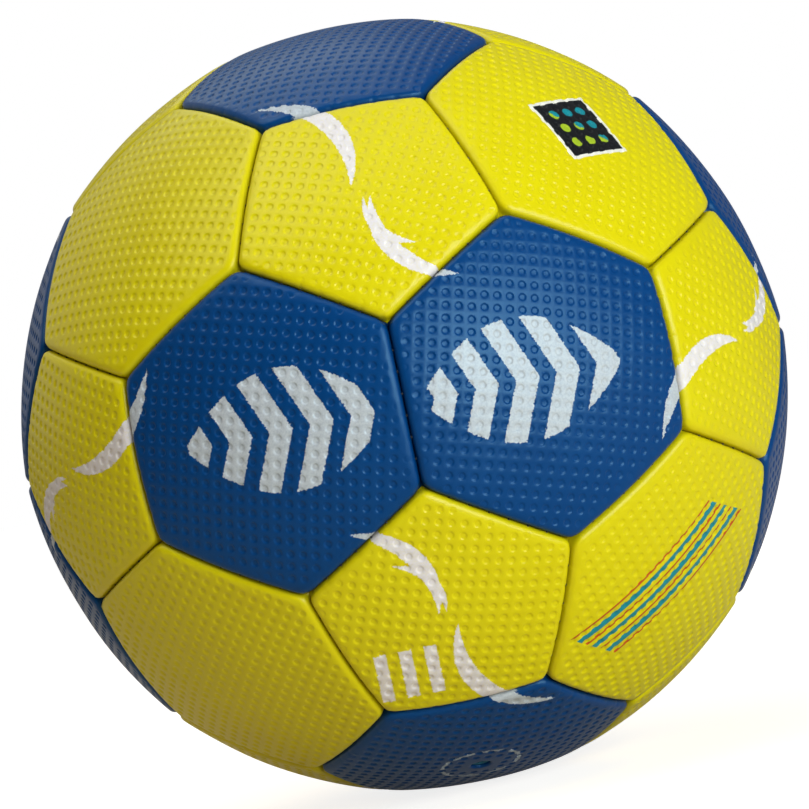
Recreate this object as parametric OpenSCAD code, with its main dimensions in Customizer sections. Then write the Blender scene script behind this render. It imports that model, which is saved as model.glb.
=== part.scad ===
/* [Ball] */
// Girth over the crowns of the seams, a men's match ball
ball_girth = 590; // [480:1:610]

/* [Cover] */
// Thickness of the synthetic leather
leather_t = 1.3; // [1:0.1:1.6]
// Thickness of the cloth layers behind the leather
lining_t = 1.8; // [1:0.1:2]
// How far the middle of a hexagon lies below the ball's crown
hexagon_flat = 0.9; // [0.4:0.1:1.4]
// How far the middle of a pentagon lies below the ball's crown
pentagon_flat = 0.5; // [0.3:0.1:0.8]
// Radius of the edge where the leather turns in to the seam
edge_r = 2.5; // [2:0.1:3]
// Height of the sewn flange below the turned edge
flange_h = 2.6; // [2:0.1:3.4]

/* [Seams] */
// Diameter of the waxed thread
thread_d = 0.9; // [0.6:0.1:1.2]

/* [Bladder] */
// Wall of the rubber bladder
bladder_wall = 1; // [0.7:0.1:1.5]
// Thickness of the balance patch opposite the valve
balance_t = 0.9; // [0.6:0.1:1.2]
// Diameter of the balance patch
balance_d = 24; // [16:1:32]

/* [Valve] */
// Diameter of the hole for the valve in the panel
valve_hole_d = 4.8; // [4.2:0.1:6]
// Radial gap between the valve's nose and that hole
nose_gap = 0.15; // [0.1:0.05:0.3]
// How far the nose lies below the panel's face
nose_recess = 0.8; // [0.3:0.1:1.2]
// Diameter of the disc that is glued to the bladder
disc_d = 22; // [16:1:30]
// Thickness of that disc
disc_t = 1; // [0.8:0.1:1.2]
// Diameter of the housing inside the bladder
housing_d = 10; // [9:0.5:13]
// Depth of the housing inside the bladder
housing_depth = 9; // [8:0.5:14]
// Wall of the housing round the plug's bulb
housing_wall = 1.6; // [1.2:0.1:2]
// Diameter of the plug's stem
plug_stem_d = 3.4; // [3:0.1:3.8]
// Height of the bulb that holds the plug in the housing
bulb_h = 4.5; // [3:0.5:6]
// Radius of the channel for the inflation needle
needle_r = 1; // [0.8:0.05:1.1]
// Diameter of the patch behind the valve panel
patch_d = 34; // [26:1:40]
// Thickness of that patch
patch_t = 0.8; // [0.5:0.1:1]

/* [Hidden] */
$fn = 96;
// Ratio of the golden section, from which all the panel centres follow
phi = (1 + sqrt(5)) / 2;
ball_r = ball_girth / (2 * PI);
// Half the gap that wax and thread leave between two sewn flanges
seam_gap = 0.04;
// Film of glue between glued layers
glue = 0.05;
// How far the turned edge stands past the flange's and the crown's face, so that it meets them at a slight crease
crease = 0.02;
// Overrun of cuts and of bodies that only bound others
over = 1;
// Radius of the sphere that the cut feet of the flanges lie on
foot_r = ball_r - edge_r - flange_h;
thread_r = foot_r - glue - thread_d / 2;

// Vertices of the icosahedron, which are also where the pentagons face
pentagon_shares = [
    ["pentagon_front_upper", [0, -phi, 1]],
    ["pentagon_front_lower", [0, -phi, -1]],
    ["pentagon_back_upper", [0, phi, 1]],
    ["pentagon_back_lower", [0, phi, -1]],
    ["pentagon_right_front", [phi, -1, 0]],
    ["pentagon_right_back", [phi, 1, 0]],
    ["pentagon_left_front", [-phi, -1, 0]],
    ["pentagon_left_back", [-phi, 1, 0]],
    ["pentagon_top_right", [1, 0, phi]],
    ["pentagon_top_left", [-1, 0, phi]],
    ["pentagon_bottom_right", [1, 0, -phi]],
    ["pentagon_bottom_left", [-1, 0, -phi]]
];
// Where the blue hexagons face, in six pairs
blue_shares = [
    ["hexagon_blue_front_right", [1, -phi * phi, 0]],
    ["hexagon_blue_front_left", [-1, -phi * phi, 0]],
    ["hexagon_blue_back_right", [1, phi * phi, 0]],
    ["hexagon_blue_back_left", [-1, phi * phi, 0]],
    ["hexagon_blue_right_upper", [phi * phi, 0, 1]],
    ["hexagon_blue_right_lower", [phi * phi, 0, -1]],
    ["hexagon_blue_left_upper", [-phi * phi, 0, 1]],
    ["hexagon_blue_left_lower", [-phi * phi, 0, -1]],
    ["hexagon_blue_top_front", [0, -1, phi * phi]],
    ["hexagon_blue_top_back", [0, 1, phi * phi]],
    ["hexagon_blue_bottom_front", [0, -1, -phi * phi]],
    ["hexagon_blue_bottom_back", [0, 1, -phi * phi]]
];
// Where the yellow hexagons face, one in each octant
yellow_shares = [
    ["hexagon_yellow_upper_front_right", [1, -1, 1]],
    ["hexagon_yellow_upper_front_left", [-1, -1, 1]],
    ["hexagon_yellow_upper_back_right", [1, 1, 1]],
    ["hexagon_yellow_upper_back_left", [-1, 1, 1]],
    ["hexagon_yellow_lower_front_right", [1, -1, -1]],
    ["hexagon_yellow_lower_front_left", [-1, -1, -1]],
    ["hexagon_yellow_lower_back_right", [1, 1, -1]],
    ["hexagon_yellow_lower_back_left", [-1, 1, -1]]
];
vertices = [for (p = pentagon_shares) p[1]];
valve_panel = "hexagon_blue_bottom_front";
valve_face = [for (p = blue_shares) if (p[0] == valve_panel) p[1]][0];
valve_shift = crown_shift(valve_face, hexagon_corners(valve_face), hexagon_flat);
// Heights along the valve's axis, from the ball's middle outwards
lining_back = ball_r - hexagon_flat - leather_t - glue - lining_t;
patch_back = lining_back - glue - patch_t;
bladder_r = min(
    thread_r - thread_d / 2 - glue,
    patch_back - disc_t - 2 * glue,
    lining_back - balance_t - 2 * glue
);
housing_foot = bladder_r - bladder_wall - housing_depth;
bulb_foot = housing_foot + housing_wall;
bulb_d = housing_d - 2 * housing_wall;
nose_top = ball_r - hexagon_flat - nose_recess;

function unit(v) = v / norm(v);
// Two vertices of the icosahedron share an edge where their product is phi
function linked(a, b) = abs(a * b - phi) < 1 / phi;
// The vertex that follows b anticlockwise round a
function turn(a, b) = [for (v = vertices) if (linked(a, v) && linked(b, v) && cross(b, v) * a > 0) v][0];
function ring(a, b, left) = left == 0 ? [] : concat([b], ring(a, turn(a, b), left - 1));
// Seam corner on the edge from a to b, a third of the way along
function corner(a, b) = unit(2 * a + b);
function pentagon_corners(a) =
    [for (b = ring(a, [for (v = vertices) if (linked(a, v)) v][0], 5)) corner(a, b)];
// The three vertices nearest to a hexagon's middle, anticlockwise from outside
function around(face) =
    let (near = [for (v = vertices) if (unit(v) * unit(face) > cos(45)) v])
    cross(near[0], near[1]) * near[2] > 0 ? near : [near[1], near[0], near[2]];
function hexagon_corners(face) =
    let (v = around(face))
    [for (i = [0:2]) each [corner(v[i], v[(i + 1) % 3]), corner(v[(i + 1) % 3], v[i])]];
// How far behind the ball's middle the sphere of a panel's crown has its own, so that the crown
// is flatter than the ball and meets the ball's radius over the middle of a seam
function crown_shift(face, corners, flat) =
    let (rise = ball_r * (1 - unit(face) * unit(corners[0] + corners[1])))
    (2 * ball_r - flat) * flat / (2 * (rise - flat));

// Turns +Z to a direction
module facing(v) {
    rotate([0, acos(unit(v).z), atan2(v.y, v.x)])
        children();
}

// Turns +Z to z and +X towards x
module framed(z, x) {
    w = unit(z);
    u = unit(x - (x * w) * w);
    v = cross(w, u);
    multmatrix([[u.x, v.x, w.x, 0], [u.y, v.y, w.y, 0], [u.z, v.z, w.z, 0]])
        children();
}

// One side of a seam: everything past its plane, with the rim under the crown rounded, or sharp
// where a layer lies so deep that its rim has no radius left
module seam_side(start, crown_r, rim_r) {
    rim_z = start + rim_r - crease;
    rim_x = sqrt(pow(crown_r - rim_r + crease, 2) - rim_z * rim_z);
    reach = (crown_r + over) / norm([rim_x, rim_z]);
    if (rim_r > crease)
        rotate_extrude()
            union() {
                polygon([
                    [0, start],
                    [rim_x, start],
                    [rim_x, rim_z],
                    [rim_x * reach, rim_z * reach],
                    [rim_x * reach, crown_r + over],
                    [0, crown_r + over]
                ]);
                translate([rim_x, rim_z])
                    circle(r = rim_r);
            }
    else
        translate([0, 0, start])
            cylinder(h = crown_r + over, r = crown_r + over);
}

// The crown's ball, cut by the seam sides up to the one numbered i
module trimmed(face, corners, shift, depth, crown_r, i) {
    if (i < 0)
        framed(cross(face, corners[0]), -face)
            sphere(r = crown_r);
    else {
        inward = unit(cross(corners[i], corners[(i + 1) % len(corners)]));
        intersection() {
            trimmed(face, corners, shift, depth, crown_r, i - 1);
            framed(inward, -face)
                seam_side(seam_gap + depth + shift * unit(face) * inward, crown_r, edge_r - depth);
        }
    }
}

// A panel's form at a depth below its face, from its crown down to the ball's middle
module pillow(face, corners, flat, depth) {
    shift = crown_shift(face, corners, flat);
    translate(-shift * unit(face))
        trimmed(face, corners, shift, depth, ball_r - flat + shift - depth, len(corners) - 1);
}

// A layer of a panel, turned in at its edges and cut off at the flanges' foot
module layer(face, corners, flat, depth, t) {
    difference() {
        pillow(face, corners, flat, depth);
        pillow(face, corners, flat, depth + t);
        sphere(r = foot_r);
    }
}

module hexagon_layer(face, depth, t) {
    layer(face, hexagon_corners(face), hexagon_flat, depth, t);
}

module pentagon_layer(face, depth, t) {
    layer(face, pentagon_corners(face), pentagon_flat, depth, t);
}

module valve_hole() {
    facing(valve_face)
        cylinder(h = ball_r + over, d = valve_hole_d);
}

// The leather of a hexagon, or its lining, with the hole for the valve in the valve's own panel
module hexagon(p, depth, t) {
    difference() {
        layer(p[1], hexagon_corners(p[1]), hexagon_flat, depth, t);
        if (p[0] == valve_panel)
            valve_hole();
    }
}

module pentagon(p, depth, t) {
    layer(p[1], pentagon_corners(p[1]), pentagon_flat, depth, t);
}

module blue_hexagon(p) {
    color("#1c3f86")
        hexagon(p, 0, leather_t);
}

module yellow_hexagon(p) {
    color("#e6dc1c")
        hexagon(p, 0, leather_t);
}

module yellow_pentagon(p) {
    color("#dfd41a")
        pentagon(p, 0, leather_t);
}

module blue_linings() {
    color("gainsboro")
        for (p = blue_shares)
            hexagon(p, leather_t + glue, lining_t);
}

module yellow_linings() {
    color("gainsboro")
        for (p = yellow_shares)
            hexagon(p, leather_t + glue, lining_t);
}

module pentagon_linings() {
    color("gainsboro")
        for (p = pentagon_shares)
            pentagon(p, leather_t + glue, lining_t);
}

// A run of thread along a seam between two corners, under the feet of its flanges
module thread_run(a, b) {
    // The ends stop short, clear of the two runs that come to the same corner
    trim = asin(thread_d / thread_r);
    framed(cross(a, b), a)
        rotate(trim)
            rotate_extrude(angle = acos(a * b) - 2 * trim)
                translate([thread_r, 0])
                    circle(d = thread_d);
}

module seam_thread() {
    color("dimgray") {
        for (i = [0:len(vertices) - 1], j = [0:i])
            if (linked(vertices[i], vertices[j]))
                thread_run(corner(vertices[i], vertices[j]), corner(vertices[j], vertices[i]));
        for (a = vertices) {
            c = pentagon_corners(a);
            for (i = [0:len(c) - 1])
                thread_run(c[i], c[(i + 1) % len(c)]);
        }
    }
}

module bladder() {
    color("saddlebrown")
        difference() {
            sphere(r = bladder_r);
            sphere(r = bladder_r - bladder_wall);
            facing(valve_face)
                cylinder(h = ball_r, d = housing_d + 2 * glue);
        }
}

// A round patch that lies on a sphere about the origin, across +Z
module round_patch(inner_r, t, d) {
    intersection() {
        difference() {
            sphere(r = inner_r + t);
            sphere(r = inner_r);
        }
        cylinder(h = inner_r + t + over, d = d);
    }
}

module valve_patch() {
    color("slategray")
        facing(valve_face)
            translate([0, 0, -valve_shift])
                difference() {
                    round_patch(patch_back + valve_shift, patch_t, patch_d);
                    cylinder(h = patch_back + valve_shift + patch_t + over, d = valve_hole_d);
                }
}

module balance_patch() {
    color("saddlebrown")
        facing(-valve_face)
            round_patch(bladder_r + glue, balance_t, balance_d);
}

// The moulding that is glued to the bladder, with its nose in the panel's hole
module valve_housing() {
    color("darkcyan")
        facing(valve_face)
            difference() {
                union() {
                    round_patch(bladder_r + glue, disc_t, disc_d);
                    translate([0, 0, housing_foot])
                        cylinder(h = bladder_r + disc_t / 2 - housing_foot, d = housing_d);
                    translate([0, 0, bladder_r])
                        cylinder(h = nose_top - bladder_r, d = valve_hole_d - 2 * nose_gap);
                }
                translate([0, 0, bulb_foot])
                    cylinder(h = bulb_h, d = bulb_d + 2 * glue);
                translate([0, 0, housing_foot - over])
                    cylinder(h = nose_top - housing_foot + 2 * over, d = plug_stem_d + 2 * glue);
            }
}

// The insert that the needle goes through, held in the housing by its bulb
module valve_plug() {
    color("steelblue")
        facing(valve_face)
            difference() {
                union() {
                    translate([0, 0, bulb_foot + glue])
                        cylinder(h = bulb_h - 2 * glue, d = bulb_d);
                    translate([0, 0, housing_foot])
                        cylinder(h = nose_top - housing_foot, d = plug_stem_d);
                }
                translate([0, 0, housing_foot - over])
                    cylinder(h = nose_top - housing_foot + 2 * over, r = needle_r);
            }
}

for (p = blue_shares)
    blue_hexagon(p);
for (p = yellow_shares)
    yellow_hexagon(p);
for (p = pentagon_shares)
    yellow_pentagon(p);
blue_linings();
yellow_linings();
pentagon_linings();
seam_thread();
bladder();
balance_patch();
valve_patch();
valve_housing();
valve_plug();
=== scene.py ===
import math
import random

import bmesh
import bpy
import numpy as np
from mathutils import Matrix, Vector


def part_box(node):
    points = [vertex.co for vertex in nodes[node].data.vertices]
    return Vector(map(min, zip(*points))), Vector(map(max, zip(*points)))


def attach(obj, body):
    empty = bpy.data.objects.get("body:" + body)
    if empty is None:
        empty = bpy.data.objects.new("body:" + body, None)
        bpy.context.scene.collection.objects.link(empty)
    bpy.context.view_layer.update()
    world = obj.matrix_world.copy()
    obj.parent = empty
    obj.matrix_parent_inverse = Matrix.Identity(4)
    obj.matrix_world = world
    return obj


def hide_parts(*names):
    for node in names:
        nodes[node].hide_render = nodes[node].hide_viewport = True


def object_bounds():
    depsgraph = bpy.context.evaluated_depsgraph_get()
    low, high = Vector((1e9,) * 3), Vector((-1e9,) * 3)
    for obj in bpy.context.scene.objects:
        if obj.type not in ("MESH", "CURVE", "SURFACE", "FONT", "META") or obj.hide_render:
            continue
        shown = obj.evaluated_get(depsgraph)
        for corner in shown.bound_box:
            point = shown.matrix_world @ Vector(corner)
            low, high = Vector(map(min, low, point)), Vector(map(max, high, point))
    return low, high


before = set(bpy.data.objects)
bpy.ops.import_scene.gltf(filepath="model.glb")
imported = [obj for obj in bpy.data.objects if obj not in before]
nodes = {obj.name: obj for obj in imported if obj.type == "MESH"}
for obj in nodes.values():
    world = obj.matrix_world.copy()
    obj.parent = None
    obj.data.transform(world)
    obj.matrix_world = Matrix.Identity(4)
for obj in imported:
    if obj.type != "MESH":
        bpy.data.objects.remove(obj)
cadLow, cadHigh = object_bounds()
print("frame loaded,", len(nodes), "nodes")

# The whole ball, in millimetres. Meshes are modelled in millimetres and scaled at the end.
mm = 0.001
ball = {
    "girth": 590,           # over the crowns of the seams
    "hexagonFlat": 0.9,     # how far the middle of a hexagon lies below the crown
    "pentagonFlat": 0.5,
    "edgeR": 2.5,           # radius of the turned-in edge of the leather
    "flange": 2.6,          # height of the sewn flange below it
    "leather": 1.3,         # thickness of the leather
    "seamGap": 0.04,        # half the gap between two flanges
}
ballR = ball["girth"] / (2 * math.pi)
footR = ballR - ball["edgeR"] - ball["flange"]
golden = (1 + math.sqrt(5)) / 2


# Directions in which the panels face: pentagons at the vertices of an icosahedron,
# hexagons at its faces
vertexDirs = []
for a in (-1, 1):
    for b in (-golden, golden):
        vertexDirs += [Vector(v).normalized() for v in ((0, b, a), (b, a, 0), (a, 0, b))]
vertexDirs.sort(key=lambda v: (round(v.x, 3), round(v.y, 3), round(v.z, 3)))


def linked(a, b):
    # Neighbouring vertices of the icosahedron have this cosine between them
    return abs(a.dot(b) - 1 / math.sqrt(5)) < 0.1


hexagonDirs = [
    (a + b + c).normalized()
    for i, a in enumerate(vertexDirs) for j, b in enumerate(vertexDirs[:i]) for c in vertexDirs[:j]
    if linked(a, b) and linked(b, c) and linked(a, c)
]


def seamCorner(a, b):
    # A third of the way from vertex a to vertex b
    return (2 * a + b).normalized()


def cornersOf(face):
    # The corners of a panel, anticlockwise when it is seen from outside. Three vertices of the
    # icosahedron lie near a hexagon's middle, and one in a pentagon's.
    near = [v for v in vertexDirs if v.dot(face) > 0.7]
    if len(near) == 1:
        found = [seamCorner(near[0], v) for v in vertexDirs if linked(near[0], v)]
    else:
        found = [seamCorner(a, b) for a in near for b in near if a is not b]
    across = (found[0] - found[0].dot(face) * face).normalized()
    up = face.cross(across)
    return sorted(found, key=lambda c: math.atan2(c.dot(up), c.dot(across)))


def axisOf(node):
    low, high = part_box(node)
    middle = (low + high).normalized()
    dirs = vertexDirs if node.startswith("pentagon") else hexagonDirs
    return max(dirs, key=middle.dot)


panelNames = sorted(n for n in nodes
                    if n.startswith(("hexagon_", "pentagon_")) and "linings" not in n)
valvePanel = "hexagon_blue_bottom_front"
print("panels:", len(panelNames),
      "pentagon directions:", len(vertexDirs), "hexagon directions:", len(hexagonDirs))

# The embossed sheet that the panels are punched from
sheet = {
    "pitch": 2.95,          # of the square lattice of dimples
    "edgeCuts": 2,          # a lattice cell's side is cut so often, which gives a dimple 12 sides
    # radius and depth of a dimple's rings, from its rim down
    "rings": ((1.07, 0.0), (0.95, 0.035), (0.70, 0.245), (0.5, 0.27)),
    "bottom": 0.275,        # depth of the dimple's middle
    "spill": 0.8,           # cells further past a seam than this are left out, in pitches
    "plainBorder": 1.4,     # nearer to a seam than this no dimple has its middle
    # distances from a seam where the stretched leather begins to be dimpled and where it fully
    # is, each at the tightest and at the loosest sewn seams
    "fadeFrom": (0.3, 1.5),
    "fadeTo": (1.9, 5.4),
    "fadeBlend": 2.0,       # over this distance one seam's looseness blends into the next one's
}
# The edges of a panel
rim = {
    "cut": 1.3,             # from the seam to where the sheet ends and the turned edge begins
    "step": 0.7,            # greatest length of an edge of the mesh along the seam
    "arcAngles": (49, 42, 35, 28, 21, 13, 0),   # of the mesh rings over the turned edge
    "fold": 2.4,            # exponent of the turned edge's form: 2 is a circle, more a tighter fold
    "cornerR": 2.0,         # rounding of a panel's corners
    "cornerSink": 0.8,      # how steeply the leather drops past that rounding
    "stitchPitch": 5.0,     # of the stitches along a seam
    "stitchWidth": 0.5,     # half width of the pucker at a stitch
    "stitchReach": 0.8,     # how far the pucker reaches in from the seam
    "stitchDeep": (0.15, 0.75),   # least and greatest depth of the puckers of a seam
    "wave": 0.10,           # height of the slow waves in the leather
    # each wave's axis and length, how much another wave bends it, and that one's axis and length
    "waves": ((0, 5.3, 1.7, 1, 7.1), (2, 4.7, 1.3, 0, 6.1), (1, 3.9, 1.1, 2, 5.7)),
}
# The hole for the valve in its panel
valveHole = {
    "cellsOut": 1.6,        # lattice cells this near the middle are cut out, in pitches
    "reach": 3,             # open edges this near the middle are those of the cut, in pitches
    "rings": ((3.7, 0.0), (3.2, 0.0), (2.85, 0.04), (2.6, 0.14), (2.46, 0.32), (2.4, 0.6)),
    "sides": 48,
    "within": 0.99,         # least cosine between the hole's edge and the panel's middle
}
# The back of the leather. Its first rings lie so many radii of the turned edge from the seam, and
# deeper than the leather's thickness by this. The next keep these shares of the way to the seam.
leatherBack = {"rings": ((1, 0.5), (3, 0.4)), "shares": (0.6, 0.25)}
# How the sheet lies on the panels that show it in the photograph: the way that each of them faces,
# and the turn of its lattice from the row frame's X axis, in degrees
facingTurns = (
    ((-0.357, -0.934, 0), -15.5), ((0.357, -0.934, 0), -15.5), ((0, -0.357, 0.934), -17),
    ((-1, -1, -1), -22), ((-1, -1, 1), -36), ((1, -1, -1), 9), ((1, -1, 1), -9),
    ((0, -0.851, -0.526), -17), ((0, -0.851, 0.526), -24),
    ((-0.851, -0.526, 0), -23), ((0.851, -0.526, 0), -26),
)
latticeTurns = {valvePanel: -20}
for facing, turn in facingTurns:
    latticeTurns[max(panelNames, key=lambda name: axisOf(name).dot(Vector(facing)))] = turn


def tangentAxes(face):
    start = Vector((1, 0, 0)) if abs(face.x) < 0.9 else Vector((0, 1, 0))
    across = (start - start.dot(face) * face).normalized()
    return across, face.cross(across)


def seamHash(middle):
    # A number from 0 to 1 that looks random and that both panels of a seam agree on. The factors
    # only have to be large and unlike.
    value = math.sin(middle.x * 127.1 + middle.y * 311.7 + middle.z * 74.7) * 43758.5453
    return value - math.floor(value)


def puckerDepth(openness):
    # How deep the stitches pucker a seam
    least, most = rim["stitchDeep"]
    return least + (most - least) * openness ** 2


class Panel:
    def __init__(self, name):
        self.name = name
        self.face = axisOf(name)
        self.corners = cornersOf(self.face)
        count = len(self.corners)
        pairs = [(self.corners[i], self.corners[(i + 1) % count]) for i in range(count)]
        self.inward = np.array([a.cross(b).normalized() for a, b in pairs])
        self.along = np.array([(b - a).normalized() for a, b in pairs])
        self.openness = np.array([seamHash((a + b).normalized()) for a, b in pairs])
        self.looseness = np.array([
            seamHash((2 * a + b + self.face).normalized()) for a, b in pairs])
        self.flat = flat = ball["hexagonFlat"] if count == 6 else ball["pentagonFlat"]
        rise = ballR * (1 - self.face.dot((pairs[0][0] + pairs[0][1]).normalized()))
        self.shift = (2 * ballR - flat) * flat / (2 * (rise - flat))
        self.crownR = ballR - flat + self.shift
        self.turn, self.offset = 0.0, (0.0, 0.0)

    def crown(self, dirs):
        # Distance of the crown's sphere from the ball's middle
        along = dirs @ np.array(self.face)
        return -self.shift * along + np.sqrt(self.crownR ** 2 - self.shift ** 2 * (1 - along ** 2))

    def seamDistance(self, dirs):
        # Distance from the nearest seam with the corners rounded, the seam's number, the place
        # along it and how loosely the leather is sewn there
        away = ballR * dirs @ self.inward.T
        order = np.argsort(away, axis=1)
        rows = np.arange(len(dirs))
        first, second = away[rows, order[:, 0]], away[rows, order[:, 1]]
        radius = rim["cornerR"]
        rounded = radius - np.hypot(np.maximum(radius - first, 0), np.maximum(radius - second, 0))
        near = np.where(first < radius, rounded, first)
        place = ballR * np.einsum("ij,ij->i", dirs, self.along[order[:, 0]])
        weight = np.exp(-(away - first[:, None]) / sheet["fadeBlend"])
        return near, order[:, 0], place, weight @ self.looseness / weight.sum(axis=1)

    def surface(self, points):
        # Takes points on the plain ball, raised or sunk by the embossing, to the panel's own form
        radius = np.linalg.norm(points, axis=1)
        dirs = points / radius[:, None]
        near, side, place, loose = self.seamDistance(dirs)
        start, end = (low + (high - low) * loose
                      for low, high in (sheet["fadeFrom"], sheet["fadeTo"]))
        blend = np.clip((near - start) / (end - start), 0, 1)
        embossed = (radius - ballR) * blend * blend * (3 - 2 * blend)
        edgeR, fold = ball["edgeR"], rim["fold"]
        inside = np.clip((edgeR + ball["seamGap"] - near) / edgeR, 0, 1)
        sunk = edgeR * (1 - (1 - inside ** fold) ** (1 / fold))
        sunk += rim["cornerSink"] * np.maximum(-near, 0)
        phase = place / rim["stitchPitch"] - 0.5
        fromStitch = (phase - np.round(phase)) * rim["stitchPitch"]
        pucker = puckerDepth(self.openness[side]) * np.exp(
            -(fromStitch / rim["stitchWidth"]) ** 2 - np.maximum(near, 0) / rim["stitchReach"])
        spot = (dirs * ballR).T
        wave = sum(np.sin(spot[axis] / length + bend * np.sin(spot[other] / otherLength))
                   for axis, length, bend, other, otherLength in rim["waves"])
        wave = rim["wave"] * wave / len(rim["waves"])
        return dirs * (self.crown(dirs) + embossed - sunk - pucker + wave)[:, None]


def inOrder(elements):
    # Elements of a mesh without repeats. A set would order them anew in each run.
    return list(dict.fromkeys(elements))


def moveAll(bm, change):
    points = change(np.array([v.co for v in bm.verts]))
    for v, p in zip(bm.verts, points):
        v.co = p


def layCells(bm, panel):
    # The lattice's cells over the panel, with the dimples inset and sunk into them
    pitch = sheet["pitch"]
    reach = ballR * max(math.acos(panel.face.dot(c)) for c in panel.corners) + pitch
    count = 2 * math.ceil(reach / pitch) + 1
    bmesh.ops.create_grid(bm, x_segments=count, y_segments=count, size=count * pitch / 2)
    bmesh.ops.translate(bm, verts=bm.verts, vec=(*panel.offset, 0))
    bmesh.ops.rotate(bm, verts=bm.verts, matrix=Matrix.Rotation(panel.turn, 3, "Z"))
    cells = list(bm.faces)
    middles = np.array([f.calc_center_median() for f in cells])
    around = panel.seamDistance(drape(panel, middles) / ballR)[0]
    gone = [f for f, d in zip(cells, around) if d < -sheet["spill"] * pitch]
    if panel.name == valvePanel:
        gone += [f for f, m in zip(cells, middles)
                 if np.linalg.norm(m) < valveHole["cellsOut"] * pitch]
    bmesh.ops.delete(bm, geom=inOrder(gone), context="FACES")
    bmesh.ops.bisect_edges(bm, edges=bm.edges, cuts=sheet["edgeCuts"])
    kept = [f for f, d in zip(cells, around) if f.is_valid and d > sheet["plainBorder"]]
    emboss(bm, kept, panel.turn)


def emboss(bm, cells, turn):
    # Rings inset into every cell and turned into circles, which go down to the dimple's middle
    sides = 4 * (sheet["edgeCuts"] + 1)
    stepAngle = 2 * math.pi / sides
    start = turn + stepAngle * (0.5 if sheet["edgeCuts"] % 2 == 0 else 0)
    inset = sheet["pitch"] / 2
    for number, (radius, depth) in enumerate(sheet["rings"]):
        bmesh.ops.inset_individual(bm, faces=cells, thickness=inset - radius, use_even_offset=True)
        inset = radius
        for f in cells:
            middle = f.calc_center_median()
            for v in f.verts:
                arm = v.co - middle
                angle = math.atan2(arm.y, arm.x)
                if number == 0:
                    angle = start + stepAngle * round((angle - start) / stepAngle)
                v.co = (middle.x + radius * math.cos(angle),
                        middle.y + radius * math.sin(angle), -depth)
    poked = bmesh.ops.poke(bm, faces=cells)
    for v in poked["verts"]:
        v.co.z = -sheet["bottom"]


def cutValveHole(bm):
    # Closes the cut-out cells up to a round hole with a soft edge, in the flat sheet
    reach = valveHole["reach"] * sheet["pitch"]
    edges = [e for e in bm.edges if e.is_boundary and all(v.co.length < reach for v in e.verts)]
    radius = valveHole["rings"][0][0]
    circle = bmesh.ops.create_circle(bm, cap_ends=False, segments=valveHole["sides"], radius=radius)
    loop = inOrder(e for v in circle["verts"] for e in v.link_edges)
    bmesh.ops.bridge_loops(bm, edges=edges + loop)
    for radius, depth in valveHole["rings"][1:]:
        loop = pullRing(bm, loop, lambda co: (
            Vector((co.x, co.y, 0)).normalized() * radius - Vector((0, 0, depth))))


def drape(panel, points):
    # Lays points of the flat sheet on the plain ball, as far from the panel's middle as they were
    across, up = tangentAxes(panel.face)
    away = np.hypot(points[:, 0], points[:, 1])
    angle = away / ballR
    scale = np.where(away > 1e-9, np.sin(angle) / np.maximum(away, 1e-9), 1 / ballR)
    dirs = (np.outer(points[:, 0] * scale, across) + np.outer(points[:, 1] * scale, up)
            + np.outer(np.cos(angle), panel.face))
    return dirs * (ballR + points[:, 2])[:, None]


def pullRing(bm, edges, place):
    # Extrudes a rim once more and puts its new vertices in their place
    made = bmesh.ops.extrude_edge_only(bm, edges=edges)["geom"]
    for v in made:
        if isinstance(v, bmesh.types.BMVert):
            v.co = place(v.co)
    return [e for e in made if isinstance(e, bmesh.types.BMEdge) and e.is_boundary]


def ringPlace(panel, distance, radius=None):
    # Where a rim's vertex goes that is to lie this far from its seam, on the plain ball or at
    # another radius
    inward = [Vector(n) for n in panel.inward]

    def place(co):
        direction = co.normalized()
        side = min(inward, key=direction.dot)
        tilt = panel.face.dot(side)
        onSeam = (direction - panel.face * (direction.dot(side) / tilt)).normalized()
        placed = (onSeam + panel.face * (distance / ballR / tilt)).normalized()
        return placed * (ballR if radius is None else radius)
    return place


def openEdges(bm, panel):
    # The open edges at the panel's border, and those round the valve's hole
    border, hole = [], []
    for e in bm.edges:
        if e.is_boundary:
            inHole = e.verts[0].co.normalized().dot(panel.face) >= valveHole["within"]
            (hole if inHole else border).append(e)
    return border, hole


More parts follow.
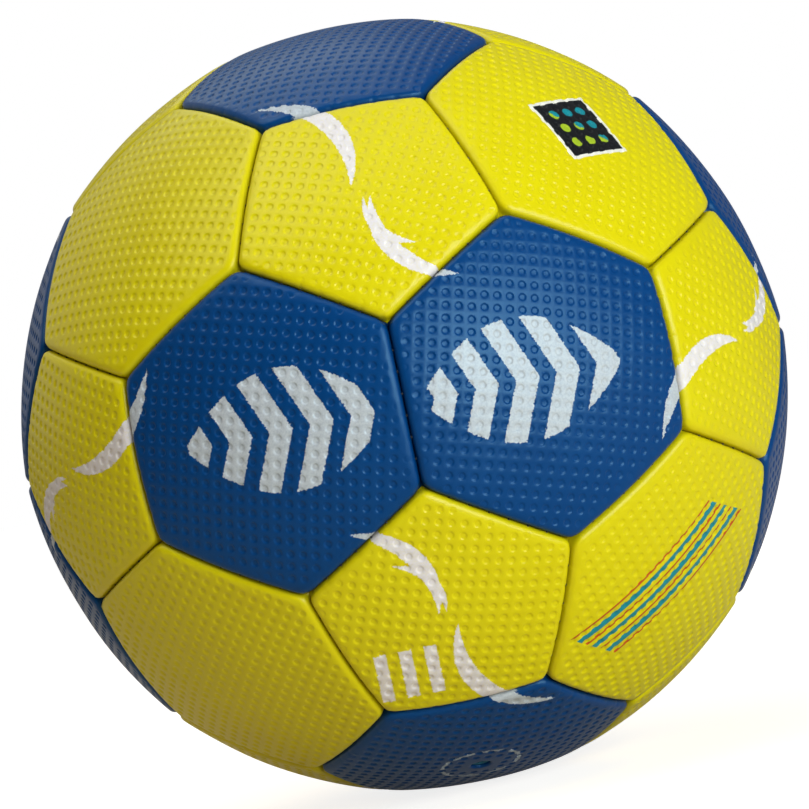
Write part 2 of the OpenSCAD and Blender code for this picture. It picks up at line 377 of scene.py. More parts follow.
def panelMesh(panel):
    face = panel.face
    bm = bmesh.new()
    layCells(bm, panel)
    if panel.name == valvePanel:
        cutValveHole(bm)
    moveAll(bm, lambda points: drape(panel, points))
    for n in panel.inward:
        bmesh.ops.bisect_plane(bm, geom=bm.verts[:] + bm.edges[:] + bm.faces[:], dist=0.001,
                               plane_co=Vector(n) * rim["cut"], plane_no=n, clear_inner=True)
    byCuts = {}
    for e in openEdges(bm, panel)[0]:
        byCuts.setdefault(int(e.calc_length() / rim["step"]), []).append(e)
    for cuts, edges in byCuts.items():
        if cuts:
            bmesh.ops.bisect_edges(bm, edges=edges, cuts=cuts)
    border, hole = openEdges(bm, panel)

    # the turned edge, over its arc and down to the flange
    gap, edgeR = ball["seamGap"], ball["edgeR"]
    for angle in rim["arcAngles"]:
        distance = gap + edgeR * (1 - math.cos(math.radians(angle)))
        border = pullRing(bm, border, ringPlace(panel, distance))
    moveAll(bm, panel.surface)

    # the flange, and the back of the leather, which closes the piece
    leather = ball["leather"]
    rings = [(gap, footR), (gap + leather, footR), (gap + leather, ballR - edgeR)]
    rings += [(times * edgeR, ballR - leather - deeper) for times, deeper in leatherBack["rings"]]
    for distance, radius in rings:
        border = pullRing(bm, border, ringPlace(panel, distance, radius))
    innerR = ballR - leather - panel.flat
    for share in leatherBack["shares"]:
        border = pullRing(bm, border, lambda co: (
            (co.normalized() * share + face * (1 - share)).normalized() * innerR))
    if hole:
        holeR = valveHole["rings"][-1][0]
        border = pullRing(bm, border, lambda co: (
            face * innerR + (co - co.dot(face) * face).normalized() * holeR))
        hole = pullRing(bm, hole, lambda co: co * (innerR / co.dot(face)))
        bmesh.ops.bridge_loops(bm, edges=border + hole)
    else:
        loop = inOrder(v for e in border for v in e.verts)
        bmesh.ops.pointmerge(bm, verts=loop, merge_co=face * innerR)
    bmesh.ops.recalc_face_normals(bm, faces=bm.faces)
    if bm.calc_volume(signed=True) < 0:
        bmesh.ops.reverse_faces(bm, faces=bm.faces)
    for f in bm.faces:
        f.smooth = True
    # Each vertex's distance from its seam, which the leather's material reads for its painted shade
    layer = bm.verts.layers.float.new("fromSeam")
    points = np.array([v.co for v in bm.verts])
    near = panel.seamDistance(points / np.linalg.norm(points, axis=1)[:, None])[0]
    for v, distance in zip(bm.verts, near):
        v[layer] = distance
    bmesh.ops.scale(bm, verts=bm.verts, vec=(mm, mm, mm))
    return bm


def finishPiece(name, bm, material, replaced=()):
    mesh = bpy.data.meshes.new(name)
    bm.to_mesh(mesh)
    bm.free()
    piece = bpy.data.objects.new(name, mesh)
    bpy.context.scene.collection.objects.link(piece)
    piece.data.materials.append(material)
    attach(piece, "root")
    if replaced:
        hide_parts(*replaced)


def linear(hexText):
    # sRGB hex to the linear colour that the shaders use
    parts = [int(hexText[i:i + 2], 16) / 255 for i in (1, 3, 5)]
    return [p / 12.92 if p <= 0.04045 else ((p + 0.055) / 1.055) ** 2.4 for p in parts] + [1.0]


def addNode(tree, kind, settings=None, inputs=None):
    # Adds a node, sets it, and links or sets its inputs. A node given as an input stands for its
    # first output.
    node = tree.nodes.new(kind)
    for name, value in (settings or {}).items():
        setattr(node, name, value)
    for name, value in (inputs or {}).items():
        if isinstance(value, bpy.types.Node):
            value = value.outputs[0]
        if isinstance(value, bpy.types.NodeSocket):
            tree.links.new(value, node.inputs[name])
        else:
            node.inputs[name].default_value = value
    return node


def newMaterial(name):
    material = bpy.data.materials.new(name)
    material.use_nodes = True
    tree = material.node_tree
    tree.nodes.clear()
    return material, tree


# Prints on the leather, in millimetres from the ball's middle
prints = {
    "softness": 0.07,       # width over which an edge of the ink fades
    "ragged": 0.45,         # how far the screen's weave makes an edge of the silver wander
    "raggedGrain": 0.45,    # grain of that
    "coverage": (0.80, 0.97),   # of the silver, which lets a little of the leather through
    "coverGrain": (0.35, 0.6),  # values of the leather's grain where it is least and greatest
}
# A row of chevrons across the two front hexagons, tall in the middle of each
chevrons = {
    "middle": 27.0,         # of each group, to either side
    "reach": 24.5,          # of a group from its middle
    "tall": 15.0,           # half of the height in a group's middle
    "low": 0.9,             # taken off that height all along
    "pitch": 9.4,
    "width": 5.4,
    "lean": 0.42,           # sideways for each millimetre up or down
}
# Tapered arcs round every pentagon: middle of the chord (across, up) from the pentagon's middle,
# direction of the bulge in degrees, length and height of the chord's arc, and greatest width
arcs = (
    (11.5, 18.0, 150, 38, 6.0, 4.6),
    (7.0, 19.0, 150, 20, 3.0, 2.4),
    (-10.5, -13.5, -35, 28, 4.5, 4.0),
    (-5.5, -9.0, -35, 17, 2.5, 2.2),
)
# Three plain bars that tell the size, on the lower front pentagon
tally = {"x": -11.6, "z": -60.0, "count": 3, "pitch": 5.8, "width": 2.9, "tall": 11.0}
# A dark tile with dots, on the upper right hexagon, and stripes on the lower right one
tile = {
    "middle": (0.567, -0.579, 0.586),
    "side": 18.5,
    "border": 0.9,          # pale
    "clear": 1.98,          # from the tile's side to the dots
    "dotPitch": 4.6,
    "dotR": 1.35,
}
stripes = {
    "middle": (0.545, -0.625, -0.560),
    "turn": 41,             # degrees
    "length": 46,
    "shear": 0.5,           # of the slanting ends
    "pitch": 2.3,
    "count": 3,             # on either side of the middle one
    "thin": 0.55,           # width of the red ones
    "thick": 1.5,           # width of the teal ones
}
# A broken ring round the valve
valveRing = {"r": 9.4, "width": 0.9, "gaps": 8, "gapShare": 0.25}    # gapShare: of the way round
inks = {
    "onBlue": "#cdd2d5", "onYellow": "#f0e9ee",     # the silver on either leather
    "dark": "#15171a", "pale": "#f1ede0", "teal": "#158a96", "lime": "#a9c32a", "red": "#c2501a",
}


def inkEdge(tree, distance):
    # The ink's cover from the distance inside its edge
    return addNode(tree, "ShaderNodeMapRange", {"interpolation_type": "SMOOTHSTEP"}, {
        "Value": distance, "From Min": -prints["softness"], "From Max": prints["softness"]})


def onBall(tree, place):
    # The place on the ball in millimetres from its middle
    outward = addNode(tree, "ShaderNodeVectorMath", {"operation": "NORMALIZE"}, {0: place})
    return addNode(tree, "ShaderNodeVectorMath", {"operation": "SCALE"}, {
        0: outward, "Scale": ballR})


def ragged(tree, place):
    # The same, led a little astray, which makes the edge of a print as ragged as a screen's weave
    screen = addNode(tree, "ShaderNodeTexNoise", {}, {
        "Vector": place, "Scale": 1 / (prints["raggedGrain"] * mm),
        "Detail": 1.0, "Roughness": 0.6})
    astray = addNode(tree, "ShaderNodeVectorMath", {"operation": "SUBTRACT"}, {
        0: screen.outputs["Color"], 1: (0.5, 0.5, 0.5)})
    spread = 2 * prints["ragged"]
    moved = addNode(tree, "ShaderNodeVectorMath", {"operation": "MULTIPLY_ADD"}, {
        0: astray, 1: (spread, spread, spread), 2: onBall(tree, place)})
    return onBall(tree, moved)


def insideAll(tree, *distances):
    # Distance inside the part that all of the shapes share
    inside = distances[0]
    for distance in distances[1:]:
        inside = addNode(tree, "ShaderNodeMath", {"operation": "MINIMUM"}, {0: inside, 1: distance})
    return inside


def insideAny(tree, *distances):
    # Distance inside the shapes together
    inside = distances[0]
    for distance in distances[1:]:
        inside = addNode(tree, "ShaderNodeMath", {"operation": "MAXIMUM"}, {0: inside, 1: distance})
    return inside


def outsideOf(tree, distance):
    return addNode(tree, "ShaderNodeMath", {"operation": "MULTIPLY"}, {0: distance, 1: -1.0})


def alongAxis(tree, point, axis, shift=0.0, scale=1.0):
    # Distance along an axis, times scale, plus shift
    along = addNode(tree, "ShaderNodeVectorMath", {"operation": "DOT_PRODUCT"}, {
        0: point, 1: tuple(axis)})
    return addNode(tree, "ShaderNodeMath", {"operation": "MULTIPLY_ADD"}, {
        0: along.outputs["Value"], 1: scale, 2: shift})


def inSlab(tree, distance, halfWidth):
    # Distance inside a band about zero
    away = addNode(tree, "ShaderNodeMath", {"operation": "ABSOLUTE"}, {0: distance})
    return addNode(tree, "ShaderNodeMath", {"operation": "SUBTRACT"}, {0: halfWidth, 1: away})


def chevronEdge(tree, point):
    # Leaning strokes, mirrored at the row's middle line and cut off by a lens round each group
    parts = addNode(tree, "ShaderNodeSeparateXYZ", {}, {0: point})
    rise = addNode(tree, "ShaderNodeMath", {"operation": "ABSOLUTE"}, {0: parts.outputs["Z"]})
    along = addNode(tree, "ShaderNodeMath", {"operation": "MULTIPLY_ADD"}, {
        0: rise, 1: chevrons["lean"], 2: parts.outputs["X"]})
    wave = addNode(tree, "ShaderNodeMath", {"operation": "PINGPONG"}, {
        0: along, 1: chevrons["pitch"] / 2})
    stroke = addNode(tree, "ShaderNodeMath", {"operation": "SUBTRACT"}, {
        0: chevrons["width"] / 2, 1: wave})
    side = addNode(tree, "ShaderNodeMath", {"operation": "ABSOLUTE"}, {0: parts.outputs["X"]})
    off = addNode(tree, "ShaderNodeMath", {"operation": "SUBTRACT"}, {
        0: side, 1: chevrons["middle"]})
    squared = addNode(tree, "ShaderNodeMath", {"operation": "MULTIPLY"}, {0: off, 1: off})
    height = addNode(tree, "ShaderNodeMath", {"operation": "MULTIPLY_ADD"}, {
        0: squared, 1: -chevrons["tall"] / chevrons["reach"] ** 2,
        2: chevrons["tall"] - chevrons["low"]})
    lens = addNode(tree, "ShaderNodeMath", {"operation": "SUBTRACT"}, {0: height, 1: rise})
    return insideAll(tree, stroke, lens, alongAxis(tree, point, (0, -1, 0)))


def capEdge(tree, point, middle, radius):
    # Distance inside a circle drawn on the ball
    angle = radius / ballR
    return alongAxis(tree, point, middle, -ballR / math.tan(angle), 1 / math.sin(angle))


def arcEdge(tree, point, arc):
    # A crescent between two circles on the ball, near the pentagon that faces (0, golden, 1)
    across, up, bulge, chord, rise, width = arc
    face = Vector((0, golden, 1)).normalized()
    right, above = Vector((1, 0, 0)), face.cross(Vector((-1, 0, 0)))
    middle = (face * ballR + right * across + above * up).normalized()
    turn = math.radians(bulge)
    toward = right * math.cos(turn) + above * math.sin(turn)
    toward = (toward - toward.dot(middle) * middle).normalized()
    edges = []
    for height in (rise + width, rise):
        radius = ((chord / 2) ** 2 + height ** 2) / (2 * height)
        angle = (height - radius) / ballR
        centre = middle * math.cos(angle) + toward * math.sin(angle)
        edges.append(capEdge(tree, point, centre, radius))
    return insideAll(tree, edges[0], outsideOf(tree, edges[1]))


def arcsEdge(tree, point):
    # The same arcs at all twelve pentagons, turned and never mirrored
    parts = addNode(tree, "ShaderNodeSeparateXYZ", {}, {0: point}).outputs
    product = addNode(tree, "ShaderNodeMath", {"operation": "MULTIPLY"}, {
        0: parts["X"], 1: parts["Y"]})
    product = addNode(tree, "ShaderNodeMath", {"operation": "MULTIPLY"}, {
        0: product, 1: parts["Z"]})
    hand = addNode(tree, "ShaderNodeMath", {"operation": "SIGN"}, {0: product})
    away = addNode(tree, "ShaderNodeVectorMath", {"operation": "ABSOLUTE"}, {0: point})
    parts = addNode(tree, "ShaderNodeSeparateXYZ", {}, {0: away}).outputs
    edges = []
    for order in ("XYZ", "ZXY", "YZX"):
        handed = addNode(tree, "ShaderNodeMath", {"operation": "MULTIPLY"}, {
            0: parts[order[0]], 1: hand})
        turned = addNode(tree, "ShaderNodeCombineXYZ", {}, {
            0: handed, 1: parts[order[1]], 2: parts[order[2]]})
        edges += [arcEdge(tree, turned, arc) for arc in arcs]
    return insideAny(tree, *edges)


def tallyEdge(tree, point):
    across = alongAxis(tree, point, (1, 0, 0), -tally["x"])
    wave = addNode(tree, "ShaderNodeMath", {"operation": "PINGPONG"}, {
        0: across, 1: tally["pitch"] / 2})
    stroke = addNode(tree, "ShaderNodeMath", {"operation": "SUBTRACT"}, {
        0: tally["width"] / 2, 1: wave})
    wide = inSlab(tree, across, tally["count"] * tally["pitch"] / 2)
    tall = inSlab(tree, alongAxis(tree, point, (0, 0, 1), -tally["z"]), tally["tall"] / 2)
    return insideAll(tree, wide, tall, stroke, alongAxis(tree, point, (0, -1, 0)))


def valveRingEdge(tree, point):
    face = axisOf(valvePanel)
    across, up = tangentAxes(face)
    outer = capEdge(tree, point, face, valveRing["r"] + valveRing["width"] / 2)
    inner = capEdge(tree, point, face, valveRing["r"] - valveRing["width"] / 2)
    angle = addNode(tree, "ShaderNodeMath", {"operation": "ARCTAN2"}, {
        0: alongAxis(tree, point, up), 1: alongAxis(tree, point, across)})
    pitch = 2 * math.pi / valveRing["gaps"]
    wave = addNode(tree, "ShaderNodeMath", {"operation": "PINGPONG"}, {0: angle, 1: pitch / 2})
    dash = addNode(tree, "ShaderNodeMath", {"operation": "MULTIPLY_ADD"}, {
        0: wave, 1: valveRing["r"], 2: -valveRing["gapShare"] * pitch / 2 * valveRing["r"]})
    return insideAll(tree, outer, outsideOf(tree, inner), dash)


def markAxes(middle, turn=0):
    # Axes along and across a mark, turned on the ball from the row frame's level
    face = Vector(middle).normalized()
    level = Vector((0, 0, 1)).cross(face).normalized()
    above = face.cross(level)
    angle = math.radians(turn)
    return (face, level * math.cos(angle) + above * math.sin(angle),
            above * math.cos(angle) - level * math.sin(angle))


def tileColour(tree, point, under):
    # The tile's pale border, dark ground and dots, one over the other
    face, level, above = markAxes(tile["middle"])
    across, up = alongAxis(tree, point, level), alongAxis(tree, point, above)
    half = tile["side"] / 2
    body = insideAll(tree, inSlab(tree, across, half), inSlab(tree, up, half),
                     alongAxis(tree, point, face))
    ground, field = (
        addNode(tree, "ShaderNodeMath", {"operation": "SUBTRACT"}, {0: body, 1: margin})
        for margin in (tile["border"], tile["clear"]))
    waves = [
        addNode(tree, "ShaderNodeMath", {"operation": "PINGPONG"}, {
            0: axis, 1: tile["dotPitch"] / 2})
        for axis in (across, up)]
    offsets = addNode(tree, "ShaderNodeCombineXYZ", {}, {0: waves[0], 1: waves[1]})
    away = addNode(tree, "ShaderNodeVectorMath", {"operation": "LENGTH"}, {0: offsets})
    dots = addNode(tree, "ShaderNodeMath", {"operation": "SUBTRACT"}, {
        0: tile["dotR"], 1: away.outputs["Value"]})
    dots = insideAll(tree, dots, field)
    upper = inkEdge(tree, addNode(tree, "ShaderNodeMath", {"operation": "ADD"}, {0: across, 1: up}))
    dotColour = addNode(tree, "ShaderNodeMix", {"data_type": "RGBA"}, {
        "Factor": upper, 6: linear(inks["lime"]), 7: linear(inks["teal"])}).outputs[2]
    layers = ((body, linear(inks["pale"])), (ground, linear(inks["dark"])), (dots, dotColour))
    for edge, colour in layers:
        under = addNode(tree, "ShaderNodeMix", {"data_type": "RGBA"}, {
            "Factor": inkEdge(tree, edge), 6: under, 7: colour}).outputs[2]
    return under


def stripeColour(tree, point, under):
    # Slim stripes side by side, red and teal by turns
    face, along, across = markAxes(stripes["middle"], stripes["turn"])
    length, width = alongAxis(tree, point, along), alongAxis(tree, point, across)
    sheared = addNode(tree, "ShaderNodeMath", {"operation": "MULTIPLY_ADD"}, {
        0: width, 1: stripes["shear"], 2: length})
    ends = insideAll(tree, inSlab(tree, sheared, stripes["length"] / 2),
                     alongAxis(tree, point, face))
    for number in range(-stripes["count"], stripes["count"] + 1):
        thick, colour = (stripes["thin"], "red") if number % 2 else (stripes["thick"], "teal")
        shifted = addNode(tree, "ShaderNodeMath", {"operation": "SUBTRACT"}, {
            0: width, 1: number * stripes["pitch"]})
        edge = insideAll(tree, inSlab(tree, shifted, thick / 2), ends)
        under = addNode(tree, "ShaderNodeMix", {"data_type": "RGBA"}, {
            "Factor": inkEdge(tree, edge), 6: under, 7: linear(inks[colour])}).outputs[2]
    return under


leatherSkin = {
    "grain": 0.5,           # of the fine grip texture
    "grainHeight": 0.012,
    "patch": 14.0,          # size of the patches in which the colour varies
    "patchRange": (0.3, 0.7),   # values of the patches where the roughness is least and greatest
    "roughness": (0.29, 0.33),
    "ior": 1.47,
    "paintedSeamShade": 0.66,      # how dark the painted shade in a seam makes the leather
    "seamReach": 0.9,       # over this distance from the seam
}
# The two leathers: colour, colour of their darker patches, ink of the silver print, level and
# tint of the gloss, and whether the coloured marks are on them
hues = {
    "blue": ("#02417e", "#023b76", "onBlue", 0.36, (0.42, 0.8, 1, 1), False),
    "yellow": ("#e8da06", "#e2d004", "onYellow", 0.3, (1, 1, 1, 1), True),
}


def leatherMaterial(hue, colour, darker, ink, gloss, glossTint, marks):
    # Polyurethane skin on cloth, moulded with dimples: an even, waxy colour with a broad soft
    # gloss, slightly darker where it is handled, with painted shade in the seams, and screen
    # printed
    material, tree = newMaterial("embossed synthetic leather, " + hue)
    place = addNode(tree, "ShaderNodeTexCoord").outputs["Object"]
    patches = addNode(tree, "ShaderNodeTexNoise", {}, {
        "Vector": place, "Scale": 1 / (leatherSkin["patch"] * mm), "Detail": 2.0})
    under = addNode(tree, "ShaderNodeMix", {"data_type": "RGBA"}, {
        "Factor": patches, 6: linear(darker), 7: linear(colour)}).outputs[2]
    grain = addNode(tree, "ShaderNodeTexNoise", {}, {
        "Vector": place, "Scale": 1 / (leatherSkin["grain"] * mm), "Detail": 3.0, "Roughness": 0.6})
    point = ragged(tree, place)
    silver = insideAny(tree, arcsEdge(tree, point), chevronEdge(tree, point),
                       tallyEdge(tree, point), valveRingEdge(tree, point))
    least, most = prints["coverage"]
    low, high = prints["coverGrain"]
    dense = addNode(tree, "ShaderNodeMapRange", {}, {
        "Value": grain, "From Min": low, "From Max": high, "To Min": least, "To Max": most})
    cover = addNode(tree, "ShaderNodeMath", {"operation": "MULTIPLY"}, {
        0: inkEdge(tree, silver), 1: dense})
    under = addNode(tree, "ShaderNodeMix", {"data_type": "RGBA"}, {
        "Factor": cover, 6: under, 7: linear(inks[ink])}).outputs[2]
    if marks:
        point = onBall(tree, place)
        under = tileColour(tree, point, stripeColour(tree, point, under))
    # Painted shade: the colour darkens towards the seams, as shade in the creases would darken it
    fromSeam = addNode(tree, "ShaderNodeAttribute", {"attribute_name": "fromSeam"}).outputs["Fac"]
    shade = addNode(tree, "ShaderNodeMapRange", {"interpolation_type": "SMOOTHSTEP"}, {
        "Value": fromSeam, "From Min": 0.0, "From Max": leatherSkin["seamReach"],
        "To Min": leatherSkin["paintedSeamShade"], "To Max": 1.0})
    shaded = addNode(tree, "ShaderNodeVectorMath", {"operation": "SCALE"}, {
        0: under, "Scale": shade})
    bump = addNode(tree, "ShaderNodeBump", {}, {
        "Height": grain, "Distance": leatherSkin["grainHeight"] * mm})
    (low, high), (smoothest, roughest) = leatherSkin["patchRange"], leatherSkin["roughness"]
    roughness = addNode(tree, "ShaderNodeMapRange", {}, {
        "Value": patches, "From Min": low, "From Max": high,
        "To Min": smoothest, "To Max": roughest})
    shader = addNode(tree, "ShaderNodeBsdfPrincipled", {}, {
        "Base Color": shaded.outputs["Vector"], "Roughness": roughness, "Normal": bump,
        "IOR": leatherSkin["ior"], "Specular IOR Level": gloss, "Specular Tint": glossTint})
    addNode(tree, "ShaderNodeOutputMaterial", {}, {"Surface": shader})
    return material


cloths = {
    # slot: name, colour, painted shade between the yarns, pitch and height of the yarns
    "lining_cloth": ("lining of woven polyester and cotton", "#dcd7c8", "#8f8a7c", 0.6, 0.12),
    "patch_cloth": ("rubberised patch cloth", "#868e9a", "#4c525c", 0.9, 0.15),
    "waxed_thread": ("waxed polyester thread", "#38383e", "#101014", 0.35, 0.06),
}
weave = {
    "fibres": 8,            # to the width of a yarn
    "uneven": 0.2,          # how far the yarns stray from their rows
    "roughness": (0.6, 0.95),
    "sheen": 0.3,
}
rubbers = {
    # slot: name, colour, colour of the dust or bloom on it, its cover, roughness
    "bladder_rubber": ("latex rubber, dusted with talc", "#a06f3f", "#d2c0a6", 0.5, 0.62),
    "valve_rubber": ("moulded teal rubber", "#27738b", "#5f9fb0", 0.2, 0.42),
    "plug_rubber": ("soft teal rubber of the valve plug", "#307f9a", "#6fa9ba", 0.25, 0.5),
}
bloom = {
    "clouds": 6,            # size of the clouds of dust or bloom
    "dustRange": (0.45, 0.75),  # values of the clouds where its cover is nothing and greatest
    "grain": 0.25,
    "grainHeight": 0.02,
    "roughness": (-0.1, 0.15),  # least and most that the clouds add to the rubber's own
}


def clothMaterial(name, colour, paintedGapShade, pitch, height):
    # Yarns that stand out from gaps darkened with painted shade, matt as fibres are
    material, tree = newMaterial(name)
    place = addNode(tree, "ShaderNodeTexCoord").outputs["Object"]
    yarns = addNode(tree, "ShaderNodeTexVoronoi", {}, {
        "Vector": place, "Scale": 1 / (pitch * mm), "Randomness": weave["uneven"]})
    fibres = addNode(tree, "ShaderNodeTexNoise", {}, {
        "Vector": place, "Scale": weave["fibres"] / (pitch * mm), "Detail": 2.0})
    # Painted shade: the colour darkens into the gaps between the yarns, where the bump sinks them
    mixed = addNode(tree, "ShaderNodeMix", {"data_type": "RGBA"}, {
        "Factor": yarns.outputs["Distance"], 6: linear(colour), 7: linear(paintedGapShade)}).outputs[2]
    raised = addNode(tree, "ShaderNodeMath", {"operation": "MULTIPLY_ADD"}, {
        0: yarns.outputs["Distance"], 1: -1.0, 2: fibres})
    bump = addNode(tree, "ShaderNodeBump", {}, {"Height": raised, "Distance": height * mm})
    least, most = weave["roughness"]
    roughness = addNode(tree, "ShaderNodeMapRange", {}, {
        "Value": fibres, "To Min": least, "To Max": most})
    shader = addNode(tree, "ShaderNodeBsdfPrincipled", {}, {
        "Base Color": mixed, "Roughness": roughness, "Normal": bump,
        "Sheen Weight": weave["sheen"]})
    addNode(tree, "ShaderNodeOutputMaterial", {}, {"Surface": shader})
    return material


def rubberMaterial(name, colour, dust, cover, rough):
    # Even rubber with the fine bloom and mould grain that make it look soft
    material, tree = newMaterial(name)
    place = addNode(tree, "ShaderNodeTexCoord").outputs["Object"]
    clouds = addNode(tree, "ShaderNodeTexNoise", {}, {
        "Vector": place, "Scale": 1 / (bloom["clouds"] * mm), "Detail": 5.0})
    grain = addNode(tree, "ShaderNodeTexNoise", {}, {
        "Vector": place, "Scale": 1 / (bloom["grain"] * mm), "Detail": 2.0})
    low, high = bloom["dustRange"]
    dusty = addNode(tree, "ShaderNodeMapRange", {}, {
        "Value": clouds, "From Min": low, "From Max": high, "To Max": cover})
    mixed = addNode(tree, "ShaderNodeMix", {"data_type": "RGBA"}, {
        "Factor": dusty, 6: linear(colour), 7: linear(dust)}).outputs[2]
    bump = addNode(tree, "ShaderNodeBump", {}, {
        "Height": grain, "Distance": bloom["grainHeight"] * mm})
    smoother, rougher = bloom["roughness"]
    roughness = addNode(tree, "ShaderNodeMapRange", {}, {
        "Value": clouds, "To Min": rough + smoother, "To Max": rough + rougher})
    shader = addNode(tree, "ShaderNodeBsdfPrincipled", {}, {
        "Base Color": mixed, "Roughness": roughness, "Normal": bump})
    addNode(tree, "ShaderNodeOutputMaterial", {}, {"Surface": shader})
    return material


finishes = {slot: clothMaterial(*setting) for slot, setting in cloths.items()}
finishes.update({slot: rubberMaterial(*setting) for slot, setting in rubbers.items()})
kept = {
    "blue_linings": "lining_cloth", "yellow_linings": "lining_cloth",
    "pentagon_linings": "lining_cloth", "seam_thread": "waxed_thread",
    "bladder": "bladder_rubber", "balance_patch": "patch_cloth", "valve_patch": "patch_cloth",
    "valve_housing": "valve_rubber", "valve_plug": "plug_rubber",
}
for name, slotName in kept.items():
    for slot in nodes[name].material_slots:
        slot.material = finishes[slotName]
print("inner pieces finished")

leathers = {hue: leatherMaterial(hue, *setting) for hue, setting in hues.items()}
draw = random.Random(7)
half = sheet["pitch"] / 2
triangles = 0
panels = [Panel(name) for name in panelNames]
for panel in panels:
    name = panel.name
    panel.turn = math.radians(latticeTurns.get(name, draw.uniform(-45, 45)))
    if name != valvePanel:
        panel.offset = draw.uniform(-half, half), draw.uniform(-half, half)
    bm = panelMesh(panel)
    triangles += sum(len(f.verts) - 2 for f in bm.faces)
    hue = "blue" if "blue" in name else "yellow"
    finishPiece("leather_" + name, bm, leathers[hue], [name])
print("panels made,", triangles, "triangles")

# The stitches that cross the seams, of waxed thread
stitch = {
    "reach": 15.0,          # of the outermost stitches from the middle of a seam
    "sink": 1.6,            # of a stitch below the crown of the seam
    "sinkPerPucker": 0.55,  # and this much more for each millimetre of the seam's puckers
    "sides": 8,
    # place across the seam, radius and height of a stitch's rings
    "rings": ((-0.9, 0.12, -0.3), (-0.55, 0.22, -0.08), (0, 0.26, 0), (0.55, 0.22, -0.08),
              (0.9, 0.12, -0.3)),
}


def addStitch(bm, middle, across, along):
    # A short bowed thread, closed at both ends
    outward = middle.normalized()
    (reach, radius, height), rest = stitch["rings"][0], stitch["rings"][1:]
    centre = middle + across * reach + outward * height
    turned = Matrix((along, outward, across)).transposed().to_4x4()
    circle = bmesh.ops.create_circle(bm, cap_ends=True, segments=stitch["sides"], radius=radius,
                                     matrix=Matrix.Translation(centre) @ turned)
    loop = inOrder(e for v in circle["verts"] for e in v.link_edges)
    for reach, nextRadius, height in rest:
        nextCentre = middle + across * reach + outward * height
        loop = pullRing(bm, loop, lambda co: nextCentre + (co - centre) * (nextRadius / radius))
        centre, radius = nextCentre, nextRadius
    bmesh.ops.edgeloop_fill(bm, edges=loop)


bm = bmesh.new()
sewn = set()
places = int(stitch["reach"] / rim["stitchPitch"])
for panel in panels:
    count = len(panel.corners)
    for i in range(count):
        middle = (panel.corners[i] + panel.corners[(i + 1) % count]).normalized()
        key = tuple(round(c, 3) for c in middle)
        if key in sewn:
            continue
        sewn.add(key)
        along = Vector(panel.along[i])
        radius = ballR - stitch["sink"] - stitch["sinkPerPucker"] * puckerDepth(seamHash(middle))
        for number in range(-places, places):
            angle = (number + 0.5) * rim["stitchPitch"] / ballR
            onSeam = middle * math.cos(angle) + along * math.sin(angle)
            across = Vector(panel.inward[i])
            addStitch(bm, onSeam * radius, across, across.cross(onSeam))
bmesh.ops.recalc_face_normals(bm, faces=bm.faces)
for f in bm.faces:
    f.smooth = True
bmesh.ops.scale(bm, verts=bm.verts, vec=(mm, mm, mm))
finishPiece("seam_stitches", bm, finishes["waxed_thread"])
print("stitches made in", len(sewn), "seams")

# Camera: level with the ball's middle, ten ball radii away, with the ball rolled 12 degrees
view = {"away": 10, "roll": 12, "radiusPixels": 386.0, "framePixels": 809, "sensor": 36}
camera = bpy.data.objects.new("camera", bpy.data.cameras.new("camera"))
bpy.context.scene.collection.objects.link(camera)
focalPixels = view["radiusPixels"] * math.sqrt(view["away"] ** 2 - 1)
camera.data.sensor_width = view["sensor"]
camera.data.lens = view["sensor"] * focalPixels / view["framePixels"]
roll = -math.radians(view["roll"])
camera.matrix_world = (Matrix.Translation((0, -view["away"] * ballR * mm, 0))
                       @ Matrix.Rotation(math.radians(90), 4, "X") @ Matrix.Rotation(roll, 4, "Z"))
bpy.context.scene.camera = camera

# The studio: pale paper to stand on, a dark room with a faint glow behind, and round softboxes.
# Its lengths are in metres.
studio = {
    "floorSize": 8,                 # half of the paper's side
    "paper": "#d3c4ae",
    "paperGlow": (0.82, 1.0),       # added to the paper for the camera, near the ball and far off
    "paperNear": 0.14, "paperFar": 0.5,     # from the ball's middle
    "glossShare": 0.13,             # how much of the white ground the leather's gloss shows
    "roomGlow": ((0, 1, 0), 0.1, 3),        # direction, strength, sharpness
    "away": 1.2,                    # of the softboxes from the ball's middle
    # degrees to the right of the camera, height in degrees, size, power and colour of each
    "lamps": {
        "key": (38, 5, 1.0, 14.5, (0.88, 0.985, 1.03)),
        "front": (20, 13, 0.46, 2.3, (0.9, 0.98, 1)),
        "left": (-60, 60, 1.0, 4.1, (1, 0.98, 0.95)),
        "top": (0, 85, 1.2, 3.4, (1, 1, 1)),
        "back": (195, 55, 0.8, 1.6, (0.9, 1, 1)),
        "back left": (-130, 25, 1.0, 1.05, (1, 0.95, 0.88)),
    },
}


def groundSeen(tree):
    # How white a ray sees the ground: wholly from the camera and through a piece, and faintly in
    # the leather's gloss, where more of it would be a veil over the colours
    path = addNode(tree, "ShaderNodeLightPath").outputs
    seen = addNode(tree, "ShaderNodeMath", {"operation": "MAXIMUM"}, {
        0: path["Is Camera Ray"], 1: path["Is Transmission Ray"]})
    return addNode(tree, "ShaderNodeMath", {"operation": "MULTIPLY_ADD"}, {
        0: path["Is Glossy Ray"], 1: studio["glossShare"], 2: seen})


bm = bmesh.new()
bmesh.ops.create_grid(bm, x_segments=1, y_segments=1, size=studio["floorSize"])
bmesh.ops.translate(bm, verts=bm.verts, vec=(0, 0, cadLow.z))
floorMesh = bpy.data.meshes.new("floor")
bm.to_mesh(floorMesh)
bm.free()
floor = bpy.data.objects.new("floor", floorMesh)
bpy.context.scene.collection.objects.link(floor)
floorMaterial, tree = newMaterial("white studio paper")
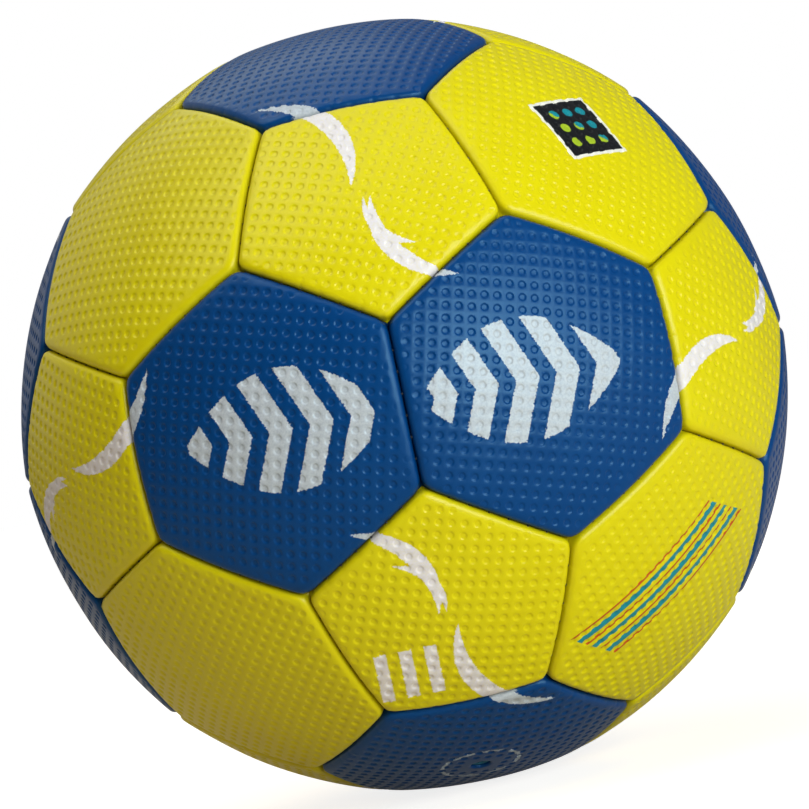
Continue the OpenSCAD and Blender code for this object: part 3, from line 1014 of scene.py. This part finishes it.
# White paper, so bright to the camera that it shows as white but for the ball's shadow, and
# clear from below
paper = addNode(tree, "ShaderNodeBsdfDiffuse", {}, {"Color": linear(studio["paper"])})
seen = groundSeen(tree)
place = addNode(tree, "ShaderNodeTexCoord").outputs["Object"]
away = addNode(tree, "ShaderNodeVectorMath", {"operation": "LENGTH"}, {0: place}).outputs["Value"]
near, far = studio["paperGlow"]
lift = addNode(tree, "ShaderNodeMapRange", {"interpolation_type": "SMOOTHSTEP"}, {
    "Value": away, "From Min": studio["paperNear"], "From Max": studio["paperFar"],
    "To Min": near, "To Max": far})
lift = addNode(tree, "ShaderNodeMath", {"operation": "MULTIPLY"}, {0: seen, 1: lift})
glow = addNode(tree, "ShaderNodeEmission", {}, {"Color": (1, 1, 1, 1), "Strength": lift})
lit = addNode(tree, "ShaderNodeAddShader", {}, {0: paper, 1: glow})
clear = addNode(tree, "ShaderNodeBsdfTransparent")
back = addNode(tree, "ShaderNodeNewGeometry").outputs["Backfacing"]
sided = addNode(tree, "ShaderNodeMixShader", {}, {0: back, 1: lit, 2: clear})
addNode(tree, "ShaderNodeOutputMaterial", {}, {"Surface": sided})
floor.data.materials.append(floorMaterial)

world = bpy.data.worlds.new("studio")
bpy.context.scene.world = world
world.use_nodes = True
tree = world.node_tree
tree.nodes.clear()
toward = addNode(tree, "ShaderNodeTexCoord").outputs["Generated"]
direction, power, sharpness = studio["roomGlow"]
facing = addNode(tree, "ShaderNodeVectorMath", {"operation": "DOT_PRODUCT"}, {
    0: toward, 1: direction})
half = addNode(tree, "ShaderNodeMath", {"operation": "MULTIPLY_ADD"}, {
    0: facing.outputs["Value"], 1: 0.5, 2: 0.5})
lobe = addNode(tree, "ShaderNodeMath", {"operation": "POWER"}, {0: half, 1: sharpness})
strength = addNode(tree, "ShaderNodeMath", {"operation": "MULTIPLY"}, {0: lobe, 1: power})
room = addNode(tree, "ShaderNodeBackground", {}, {"Color": (1, 1, 1, 1), "Strength": strength})
white = addNode(tree, "ShaderNodeBackground", {}, {"Color": (1, 1, 1, 1), "Strength": 1.0})
air = addNode(tree, "ShaderNodeMixShader", {}, {0: groundSeen(tree), 1: room, 2: white})
addNode(tree, "ShaderNodeOutputWorld", {}, {"Surface": air})


def addLamp(name, aside, height, size, power, colour):
    # A softbox that faces the ball
    lamp = bpy.data.lights.new(name, "AREA")
    lamp.shape = "DISK"
    lamp.size = size
    lamp.energy, lamp.color = power, colour
    obj = bpy.data.objects.new(name, lamp)
    bpy.context.scene.collection.objects.link(obj)
    turn, rise = math.radians(aside), math.radians(height)
    direction = Vector((math.sin(turn) * math.cos(rise), -math.cos(turn) * math.cos(rise),
                        math.sin(rise)))
    obj.location = direction * studio["away"]
    obj.rotation_euler = direction.to_track_quat("Z", "Y").to_euler()


for name, setting in studio["lamps"].items():
    addLamp(name, *setting)
bpy.context.scene.view_settings.view_transform = "Standard"
print("studio made")
